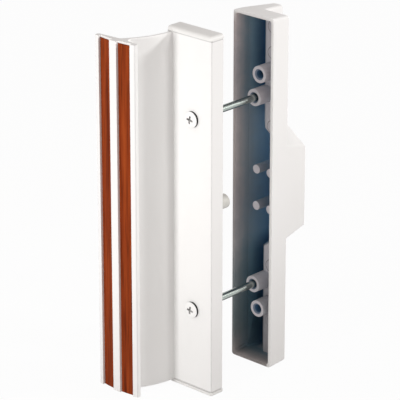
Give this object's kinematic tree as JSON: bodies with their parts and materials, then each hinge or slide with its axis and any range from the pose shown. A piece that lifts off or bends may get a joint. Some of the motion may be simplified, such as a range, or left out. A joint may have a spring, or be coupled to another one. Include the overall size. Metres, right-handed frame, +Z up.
{
  "type": "sliding patio door handle",
  "caption": "White sliding patio door handle set: inside grip on a curved web with wood strips, hollow outside pull, joined through the door by long screws.",
  "frame": {"origin": "on the door's inside face, midway between the two mounting screws", "axes": "+Y through the door from the room to the outdoors, +Z up along the handle, +X across its face"},
  "size_m": [0.0499, 0.1003, 0.1882],
  "materials": {
    "white_painted_extrusion": "gloss white paint on extruded aluminium",
    "wood": "red-brown stained, satin",
    "white_plastic": "moulded, satin gloss",
    "stud_metal": "turned, dull",
    "zinc_plated_steel": "zinc plated, heads painted white",
    "white_painted_casting": "gloss white paint on a die casting"
  },
  "bodies": {
    "root": {"inside_pull": "white_painted_extrusion", "wood_strip_left": "wood", "wood_strip_right": "wood", "top_end_cap": "white_plastic", "bottom_end_cap": "white_plastic", "locating_stud": "stud_metal", "upper_mounting_screw": "zinc_plated_steel", "lower_mounting_screw": "zinc_plated_steel", "outside_pull": "white_painted_casting"}
  },
  "joints": []
}
